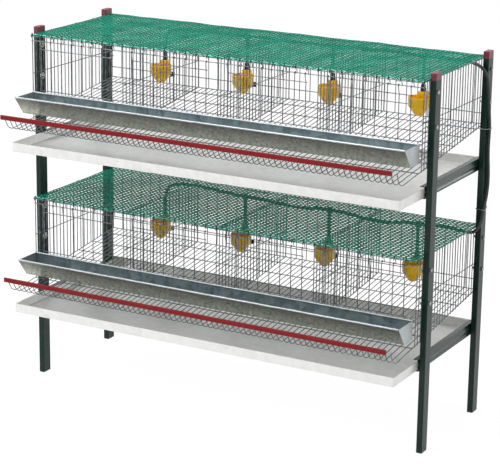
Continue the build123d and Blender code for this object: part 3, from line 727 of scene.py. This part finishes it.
def make_rail(node, inward):
    """Folded rail: two flanges, rounded folds and a rib pressed along the web."""
    low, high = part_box(node)
    web = low.x if inward > 0 else high.x
    wall = 1.5 * MM
    fold = 2.5 * MM
    tall = high.z - low.z
    profile = [(high.x - low.x, 0.0), (fold, 0.0), (fold * 0.3, fold * 0.3), (0.0, fold)]
    profile += [(0.0, tall * 0.22), (2.0 * MM, tall * 0.32), (2.0 * MM, tall * 0.36), (0.0, tall * 0.46)]
    profile += [(0.0, tall * 0.6), (2.6 * MM, tall * 0.86), (2.6 * MM, tall - fold), (fold + 0.7 * MM, tall)]
    profile += [(high.x - low.x, tall)]
    bm = bmesh.new()
    sheet = bmesh.new()
    shape = [(web + inward * x, low.y, low.z + z) for x, z in profile]
    folded_profile(sheet, shape, high.y - low.y, (0, 1, 0))
    bmesh.ops.recalc_face_normals(sheet, faces=sheet.faces)
    outside = max(sheet.faces, key=lambda face: -inward * face.calc_center_median().x)
    if outside.normal.x * inward > 0:
        bmesh.ops.reverse_faces(sheet, faces=sheet.faces)
    bmesh.ops.solidify(sheet, geom=list(sheet.faces), thickness=wall)
    mesh = bpy.data.meshes.new("rail")
    sheet.to_mesh(mesh)
    sheet.free()
    add_wire(bm, mesh, 0)
    make_piece(f"{node}_folded", bm, [Finishes.get("rail")], "root", "rail_paint", node)


class CAGE_OT_trays(bpy.types.Operator):
    """Dropping trays: shallow folded sheet with a hemmed rim, on painted rails, and the egg strips."""

    bl_idname = "cage.trays"
    bl_label = "Trays, rails and strips"

    def execute(self, context):
        sheet = 0.9 * MM
        hem = 1.5 * MM
        for tier in TIERS:
            node = f"{tier}_dropping_tray"
            low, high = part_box(node)
            bm = bmesh.new()
            pan = bmesh.new()
            bmesh.ops.create_cube(pan, size=1.0)
            bmesh.ops.scale(pan, vec=high - low, verts=pan.verts)
            bmesh.ops.translate(pan, vec=(low + high) / 2, verts=pan.verts)
            bmesh.ops.delete(pan, geom=[face for face in pan.faces if face.normal.z > 0.5], context="FACES_ONLY")
            corners = [edge for edge in pan.edges if abs(edge.verts[0].co.z - edge.verts[1].co.z) > 5 * MM]
            bmesh.ops.bevel(pan, geom=corners, offset=4.0 * MM, affect="EDGES", segments=4, profile=0.5,
                            material=-1)
            base = [edge for edge in pan.edges if max(v.co.z for v in edge.verts) < low.z + 0.1 * MM
                    and len(edge.link_faces) == 2]
            bmesh.ops.bevel(pan, geom=base, offset=1.5 * MM, affect="EDGES", segments=3, profile=0.5,
                            material=-1)
            bmesh.ops.recalc_face_normals(pan, faces=pan.faces)
            if sum(face.normal.z for face in pan.faces) > 0:
                bmesh.ops.reverse_faces(pan, faces=pan.faces)
            bmesh.ops.solidify(pan, geom=list(pan.faces), thickness=sheet)
            mesh = bpy.data.meshes.new("pan")
            pan.to_mesh(mesh)
            pan.free()
            bm.from_mesh(mesh)
            bpy.data.meshes.remove(mesh)
            path = []
            inset = hem * 0.9
            corner = 4.0 * MM
            for cx, cy, start in ((high.x, high.y, 0), (low.x, high.y, 1), (low.x, low.y, 2), (high.x, low.y, 3)):
                middle_x = cx - inset * (1 if cx == high.x else -1) - corner * (1 if cx == high.x else -1)
                middle_y = cy - inset * (1 if cy == high.y else -1) - corner * (1 if cy == high.y else -1)
                for k in range(5):
                    angle = (start + k / 4) * pi / 2
                    path.append((middle_x + corner * cos(angle), middle_y + corner * sin(angle), high.z - hem))
            path.append(path[0])
            add_wire(bm, bent_wire(path, hem * 0.9, 8), 0)
            make_piece(f"{node}_sheet", bm, [Finishes.get("tray")], f"{tier}_tray", "tray_sheet", node)
            dress(f"{tier}_egg_strip", Finishes.get("strip"))
            for side in ("left", "right"):
                make_rail(f"{tier}_rail_{side}", 1 if side == "left" else -1)
        return {"FINISHED"}


class CAGE_OT_stand(bpy.types.Operator):
    """Posts, caps, foot plugs and bolts."""

    bl_idname = "cage.stand"
    bl_label = "Stand"

    def execute(self, context):
        for post in POSTS:
            dress(post, Finishes.get("post"))
        dress("post_caps", Finishes.get("cap"))
        dress("foot_plugs", Finishes.get("black"))
        dress("cage_bolts", Finishes.get("zinc"))
        return {"FINISHED"}


def block(bm, low, high, round_off):
    """Adds a box with rounded edges."""
    verts = bmesh.ops.create_cube(bm, size=1.0)["verts"]
    bmesh.ops.scale(bm, vec=Vector(high) - Vector(low), verts=verts)
    bmesh.ops.translate(bm, vec=(Vector(low) + Vector(high)) / 2, verts=verts)
    edges = {edge for vert in verts for edge in vert.link_edges}
    bmesh.ops.bevel(bm, geom=list(edges), offset=round_off, affect="EDGES", segments=3, profile=0.5, material=-1)


def make_drinker(node):
    """Moulded cup with a rounded rim and shoulder, its ribbed valve tower, and a black clip to the rear wall."""
    low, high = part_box(node)
    x = (low.x + high.x) / 2
    cup_r = (high.x - low.x) / 2
    cup_y = low.y + cup_r
    shoulder = high.z - 33.0 * MM
    tower_y = cup_y + 20.5 * MM
    tower_low = high.z - 43.0 * MM
    mid = high.z - 45.0 * MM
    bm = bmesh.new()
    profile = ((0, 0), (8.8, 0), (10.2, 0.8), (25.8, 21.6), (26.8, 23.6), (27.2, 41.0), (28.0, 42.0), (28.0, 44.4),
               (27.2, 46.0), (25.8, 46.0), (25.2, 44.8), (24.4, 25.0), (23.4, 23.2), (8.6, 2.8), (0, 2.6))
    verts = [bm.verts.new((x + r * MM, cup_y, low.z + z * MM)) for r, z in profile]
    edges = [bm.edges.new(pair) for pair in zip(verts, verts[1:])]
    bmesh.ops.spin(bm, geom=verts + edges, cent=(x, cup_y, 0), axis=(0, 0, 1), angle=tau, steps=36,
                   use_merge=True)
    bmesh.ops.remove_doubles(bm, verts=bm.verts, dist=0.01 * MM)
    block(bm, (x - 11 * MM, tower_y - 8 * MM, tower_low), (x + 11 * MM, tower_y + 8 * MM, high.z), 2.5 * MM)
    for rib in (-5.5, 0.0, 5.5):
        block(bm, (x + (rib - 0.9) * MM, tower_y - 9 * MM, shoulder + 12 * MM),
              (x + (rib + 0.9) * MM, tower_y - 7 * MM, high.z - 3 * MM), 0.6 * MM)
    moulded = len(bm.faces)
    block(bm, (x - 2 * MM, tower_y + 4 * MM, mid - 5 * MM), (x + 2 * MM, high.y - 0.5 * MM, mid + 5 * MM), 0.6 * MM)
    block(bm, (x - 5 * MM, high.y - 1.6 * MM, mid - 6.5 * MM), (x + 5 * MM, high.y, mid + 6.5 * MM), 0.6 * MM)
    bm.faces.ensure_lookup_table()
    for face in bm.faces[moulded:]:
        face.material_index = 1
    materials = [Finishes.get("drinker"), Finishes.get("black")]
    make_piece(f"{node}_moulding", bm, materials, "root", "drinker_plastic", node)


class CAGE_OT_drinkers(bpy.types.Operator):
    """Cup drinkers with their pins, screw connectors, tees and drop tubes."""

    bl_idname = "cage.drinkers"
    bl_label = "Drinkers"

    def execute(self, context):
        for tier in TIERS:
            for number in (1, 2, 3, 4):
                make_drinker(f"{tier}_drinker_{number}")
            dress(f"{tier}_hose_fittings", Finishes.get("black"))
            dress(f"{tier}_drop_tubes", Finishes.get("hose"))
        dress("valve_pins", Finishes.get("pin"))
        return {"FINISHED"}


# The hose's route: X from the left posts' outer faces, Y from the front posts' front faces, Z as a
# drop below the tier's hose level, in millimetres. CROSS is the line through the tees.
CROSS = 293.57
RISER = 1094.3
TIE_PLACES = ((322, 162), (304, 360))
UPPER_ROUTE = (
    (204, CROSS, 69), (204, CROSS, 22), (226, 297, 0), (400, CROSS, 0), (490, CROSS, 0), (572, 290.5, 0),
    (650, CROSS, 0), (722, CROSS, 0), (852, 317, 0), (897, CROSS, 0), (963, CROSS, 0), (1010, 301, 0),
    (1058, CROSS, 2), (1080, 294.5, 12), (1092.5, 297, 32), (RISER, 301, 60), (RISER, 306, 92),
    (RISER, 322, 157), (RISER, 316, 213), (RISER, 329, 285), (RISER, 322, 329), (RISER, 303, 363),
)
LOWER_ROUTE = (
    (RISER, 297.5, -31), (1085.5, 294.5, -6), (1067, CROSS, 5), (1006, 304, 0), (962, CROSS, 0),
    (900, CROSS, 0), (851, 248, 0), (718, CROSS, 0), (656, CROSS, 0), (624, 262, 0), (488, CROSS, 0),
    (404, CROSS, 0), (281, 329, 0), (222, 304, 0), (204, CROSS, 19), (204, CROSS, 69),
)


class CAGE_OT_hose(bpy.types.Operator):
    """Water hose along both tiers and down the rear right post, and its wire ties."""

    bl_idname = "cage.hose"
    bl_label = "Water hose"

    def execute(self, context):
        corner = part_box("post_front_left")[0]
        points = []
        for tier, route in (("upper", UPPER_ROUTE), ("lower", LOWER_ROUTE)):
            level = tier_places(tier).roof - 8.0 * MM
            points += [(corner.x + x * MM, corner.y + y * MM, level - drop * MM) for x, y, drop in route]
        curve = bpy.data.curves.new("water_hose_line", "CURVE")
        curve.dimensions = "3D"
        spline = curve.splines.new("NURBS")
        spline.points.add(len(points) - 1)
        for point, place in zip(spline.points, points):
            point.co = (*place, 1.0)
        spline.order_u = 3
        spline.use_endpoint_u = True
        curve.resolution_u = 10
        curve.bevel_depth = context.scene.cage_sizes.hose / 2
        curve.bevel_resolution = 3
        curve.use_fill_caps = True
        curve.materials.append(Finishes.get("hose"))
        hose = bpy.data.objects.new("water_hose_line", curve)
        context.scene.collection.objects.link(hose)
        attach(hose, "root")
        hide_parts("water_hose")
        post_low, post_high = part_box("post_rear_right")
        grip = 1.2 * MM
        ties = bmesh.new()
        for hose_y, drop in TIE_PLACES:
            centre = Vector((corner.x + RISER * MM, corner.y + hose_y * MM))
            around = [Vector((x, y)) for x in (post_low.x - grip, post_high.x + grip)
                      for y in (post_low.y - grip, post_high.y + grip)]
            reach = context.scene.cage_sizes.hose / 2 + grip
            around += [centre + Vector((cos(tau * k / 16), sin(tau * k / 16))) * reach for k in range(16)]
            z = tier_places("upper").roof - (8.0 + drop) * MM
            loop = [Vector((*around[k], z)) for k in geometry.convex_hull_2d(around)]
            tail = loop[0] + Vector((0.5, -6.0, 4.0)) * MM
            add_wire(ties, bent_wire([*loop, loop[0], tail], 0.8 * MM, 8), 0)
        make_piece("hose_ties_wire", ties, [Finishes.get("zinc")], "root", "bolt_steel", "hose_ties")
        return {"FINISHED"}


def background_rays(tree):
    """1 for the rays that show the background: seen directly, in a reflection or through a clear surface."""
    rays = add_node(tree, "ShaderNodeLightPath").outputs
    either = add_node(tree, "ShaderNodeMath", {0: rays["Is Camera Ray"], 1: rays["Is Glossy Ray"]},
                      operation="MAXIMUM")
    seen = add_node(tree, "ShaderNodeMath", {0: either.outputs["Value"], 1: rays["Is Transmission Ray"]},
                    operation="MAXIMUM")
    return seen.outputs["Value"]


def floor_material():
    """Pale studio floor: white where nothing shades it, and it keeps the object's shadow."""
    material = bpy.data.materials.new("studio_floor")
    material.use_nodes = True
    tree = material.node_tree
    tree.nodes.clear()
    share = add_node(tree, "ShaderNodeMath", {0: background_rays(tree), 1: 0.85}, operation="MULTIPLY")
    matt = add_node(tree, "ShaderNodeBsdfDiffuse", {"Color": (0.86, 0.86, 0.86, 1.0)})
    glow = add_node(tree, "ShaderNodeEmission", {"Color": (1.0, 1.0, 1.0, 1.0), "Strength": 1.08})
    mix = add_node(tree, "ShaderNodeMixShader", {0: share.outputs["Value"], 1: matt.outputs["BSDF"],
                                                 2: glow.outputs["Emission"]})
    add_node(tree, "ShaderNodeOutputMaterial", {"Surface": mix.outputs["Shader"]})
    return material


class CAGE_OT_stage(bpy.types.Operator):
    """Pale floor, white surroundings, soft lamps and the camera."""

    bl_idname = "cage.stage"
    bl_label = "Stage"

    def execute(self, context):
        scene = context.scene
        bm = bmesh.new()
        bmesh.ops.create_grid(bm, x_segments=1, y_segments=1, size=12.0)
        mesh = bpy.data.meshes.new("floor")
        bm.to_mesh(mesh)
        bm.free()
        mesh.materials.append(floor_material())
        floor = bpy.data.objects.new("floor", mesh)
        scene.collection.objects.link(floor)

        world = bpy.data.worlds.new("studio")
        world.use_nodes = True
        tree = world.node_tree
        tree.nodes.clear()
        strength = add_node(tree, "ShaderNodeMapRange", {"Value": background_rays(tree), "To Min": 0.58,
                                                         "To Max": 1.0})
        sky = add_node(tree, "ShaderNodeBackground", {"Color": (1.0, 1.0, 1.0, 1.0),
                                                      "Strength": strength.outputs["Result"]})
        add_node(tree, "ShaderNodeOutputWorld", {"Surface": sky.outputs["Background"]})
        scene.world = world

        for name, power, size, place, aim in (
            ("key_lamp", 110.0, 2.4, (-2.2, -3.0, 3.6), (0.0, 0.0, 0.5)),
            ("top_lamp", 110.0, 1.8, (-0.5, -0.4, 4.2), (0.0, 0.0, 0.5)),
            ("fill_lamp", 12.0, 2.6, (2.8, -3.0, 2.4), (0.0, 0.0, 0.5)),
            ("rear_lamp", 60.0, 2.2, (3.6, 5.2, 1.6), (0.0, 0.0, 0.5)),
        ):
            lamp = bpy.data.lights.new(name, "AREA")
            lamp.energy = power
            lamp.size = size
            lamp_object = bpy.data.objects.new(name, lamp)
            way = Vector(place) - Vector(aim)
            lamp_object.matrix_world = Matrix.Translation(place) @ way.to_track_quat("Z", "Y").to_matrix().to_4x4()
            scene.collection.objects.link(lamp_object)

        azimuth, elevation, roll = radians(28.81), radians(16.07), radians(0.78)
        behind = Vector((sin(azimuth) * cos(elevation), -cos(azimuth) * cos(elevation), sin(elevation)))
        right = Vector((0, 0, 1)).cross(behind).normalized()
        up = behind.cross(right)
        rolled_right = cos(roll) * right + sin(roll) * up
        rolled_up = -sin(roll) * right + cos(roll) * up
        camera = bpy.data.cameras.new("camera")
        camera.sensor_width = 36.0
        camera.lens = 140.98
        camera_object = bpy.data.objects.new("camera", camera)
        turn = Matrix((rolled_right, rolled_up, behind)).transposed().to_4x4()
        camera_object.matrix_world = Matrix.Translation((2.2462, -4.04925, 1.772)) @ turn
        scene.collection.objects.link(camera_object)
        scene.camera = camera_object
        scene.view_settings.view_transform = "Standard"
        return {"FINISHED"}


STEPS = (
    CAGE_OT_stage,
    CAGE_OT_hose,
    CAGE_OT_sides,
    CAGE_OT_backs,
    CAGE_OT_grilles,
    CAGE_OT_doors,
    CAGE_OT_floors,
    CAGE_OT_nets,
    CAGE_OT_troughs,
    CAGE_OT_trays,
    CAGE_OT_stand,
    CAGE_OT_drinkers,
)


class CAGE_PT_panel(bpy.types.Panel):
    """Buttons that build the cage piece by piece."""

    bl_label = "Quail cage"
    bl_space_type = "VIEW_3D"
    bl_region_type = "UI"
    bl_category = "Quail cage"

    def draw(self, context):
        for step in STEPS:
            self.layout.operator(step.bl_idname)
        for name in CageSizes.__annotations__:
            self.layout.prop(context.scene.cage_sizes, name)
        for name in CageColours.__annotations__:
            self.layout.prop(context.scene.cage_colours, name)


CLASSES = (CageSizes, CageColours, *STEPS, CAGE_PT_panel)


def register():
    for cls in CLASSES:
        bpy.utils.register_class(cls)
    bpy.types.Scene.cage_sizes = PointerProperty(type=CageSizes)
    bpy.types.Scene.cage_colours = PointerProperty(type=CageColours)


def unregister():
    del bpy.types.Scene.cage_colours
    del bpy.types.Scene.cage_sizes
    for cls in reversed(CLASSES):
        bpy.utils.unregister_class(cls)


def main():
    """Builds every piece in order."""
    register()
    for step in STEPS:
        group, name = step.bl_idname.split(".")
        getattr(getattr(bpy.ops, group), name)()


if __name__ == "__main__":
    main()
